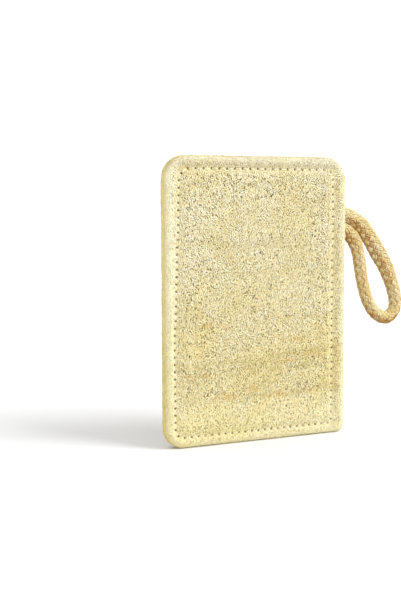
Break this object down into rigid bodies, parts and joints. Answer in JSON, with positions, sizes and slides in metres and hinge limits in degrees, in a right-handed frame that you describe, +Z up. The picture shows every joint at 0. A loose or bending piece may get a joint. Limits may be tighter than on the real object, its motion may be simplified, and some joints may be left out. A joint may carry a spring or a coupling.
{
  "type": "natural loofah sponge",
  "caption": "Flat rectangular loofah scrub pad of pressed plant fibre, stitched round the edge, with a braided cotton hanging loop.",
  "frame": {"origin": "middle of the lower edge, on the surface that the pad stands on", "axes": "+X along the width towards the rope loop, +Y through the thickness towards the back, +Z up the height"},
  "size_m": [0.1335, 0.0127, 0.1401],
  "materials": {
    "loofah_front": "dry matte pressed loofah fibre, pale straw with yellow patches",
    "loofah_back": "dry matte pressed loofah fibre, a little darker",
    "sewing_thread": "spun cotton sewing thread",
    "cotton_rope": "soft braided cotton rope, warm straw colour"
  },
  "bodies": {
    "root": {"front_sheet": "loofah_front", "back_sheet": "loofah_back", "needle_thread": "sewing_thread", "bobbin_thread": "sewing_thread", "rope_loop": "cotton_rope"}
  },
  "joints": []
}
